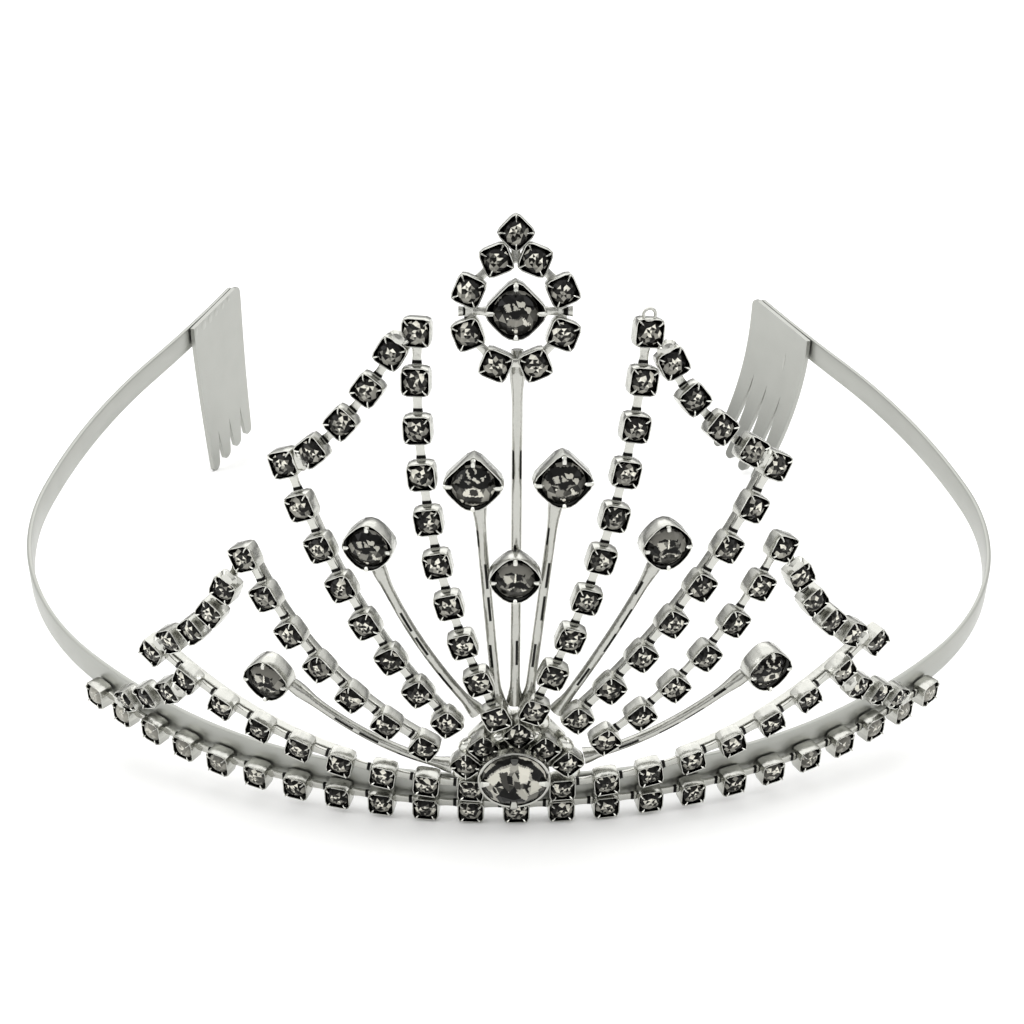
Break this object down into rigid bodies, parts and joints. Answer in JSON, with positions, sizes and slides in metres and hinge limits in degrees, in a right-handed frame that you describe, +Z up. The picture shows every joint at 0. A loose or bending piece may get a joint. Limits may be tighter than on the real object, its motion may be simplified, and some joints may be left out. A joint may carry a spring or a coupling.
{
  "type": "rhinestone tiara",
  "caption": "Half-round rhinestone tiara with a crest of cup chain and wire stems on a flat headband that ends in side combs.",
  "frame": {"origin": "middle of the footprint of the tiara at rest, on the surface it stands on", "axes": "+X to the right as seen from the front, along the width; +Y to the back, towards the combs; +Z up, with the tiara tipped forward as it rests on its front cup and comb tips"},
  "size_m": [0.1514, 0.1537, 0.0823],
  "materials": {
    "band_metal": "satin silver plate",
    "comb_metal": "satin silver plate",
    "chain_metal": "bright silver plate",
    "rhinestone": "faceted glass with a foiled back"
  },
  "bodies": {
    "root": {"headband": "band_metal", "comb_left": "comb_metal", "comb_right": "comb_metal", "base_chain": "chain_metal", "base_stones": "rhinestone", "rib_1_left": "chain_metal", "rib_1_right": "chain_metal", "rib_2_left": "chain_metal", "rib_2_right": "chain_metal", "rib_3_left": "chain_metal", "rib_3_right": "chain_metal", "rib_4_left": "chain_metal", "rib_4_right": "chain_metal", "scallop_upper_left": "chain_metal", "scallop_upper_right": "chain_metal", "scallop_middle_left": "chain_metal", "scallop_middle_right": "chain_metal", "scallop_lower_left": "chain_metal", "scallop_lower_right": "chain_metal", "rib_1_left_stones": "rhinestone", "rib_1_right_stones": "rhinestone", "rib_2_left_stones": "rhinestone", "rib_2_right_stones": "rhinestone", "rib_3_left_stones": "rhinestone", "rib_3_right_stones": "rhinestone", "rib_4_left_stones": "rhinestone", "rib_4_right_stones": "rhinestone", "scallop_upper_left_stones": "rhinestone", "scallop_upper_right_stones": "rhinestone", "scallop_middle_left_stones": "rhinestone", "scallop_middle_right_stones": "rhinestone", "scallop_lower_left_stones": "rhinestone", "scallop_lower_right_stones": "rhinestone", "stem_inner_left": "chain_metal", "stem_inner_right": "chain_metal", "stem_mid_left": "chain_metal", "stem_mid_right": "chain_metal", "stem_low_left": "chain_metal", "stem_low_right": "chain_metal", "stem_centre": "chain_metal", "stem_inner_left_stone": "rhinestone", "stem_inner_right_stone": "rhinestone", "stem_mid_left_stone": "rhinestone", "stem_mid_right_stone": "rhinestone", "stem_low_left_stone": "rhinestone", "stem_low_right_stone": "rhinestone", "stem_centre_stone": "rhinestone", "crest_ring": "chain_metal", "crest_stones": "rhinestone", "crest_centre_stone": "rhinestone", "centre_mount": "chain_metal", "cluster_stones": "rhinestone", "centre_stone": "rhinestone"}
  },
  "joints": []
}
